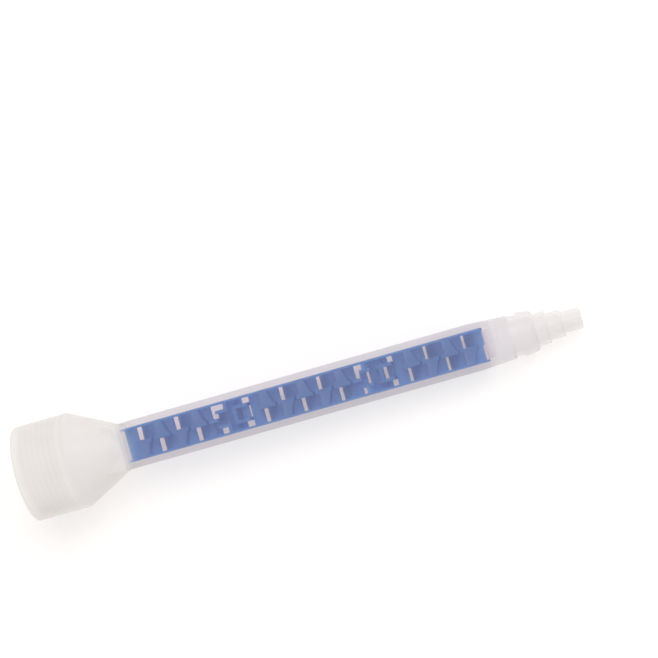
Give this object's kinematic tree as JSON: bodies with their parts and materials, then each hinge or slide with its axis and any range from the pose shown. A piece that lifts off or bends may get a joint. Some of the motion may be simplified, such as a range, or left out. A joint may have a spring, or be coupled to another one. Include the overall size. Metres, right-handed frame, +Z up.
{
  "type": "static mixer",
  "caption": "Static mixing nozzle: translucent housing with a screw-on inlet bell, square tube and stepped outlet around a moulded blue mixing element.",
  "frame": {"origin": "on the floor under the middle of the nozzle's box, as it lies on the shoulder of its bell and the lower edge of its tube's end", "axes": "+X from the bell to the tip, the nozzle's axis dipping by about 3.2 degrees towards the tip; +Z up"},
  "size_m": [0.1466, 0.0246, 0.0253],
  "materials": {
    "natural_polypropylene": "moulded, translucent, satin",
    "blue_polypropylene": "moulded, satin"
  },
  "bodies": {
    "root": {"housing": "natural_polypropylene", "mixing_element": "blue_polypropylene"}
  },
  "joints": []
}
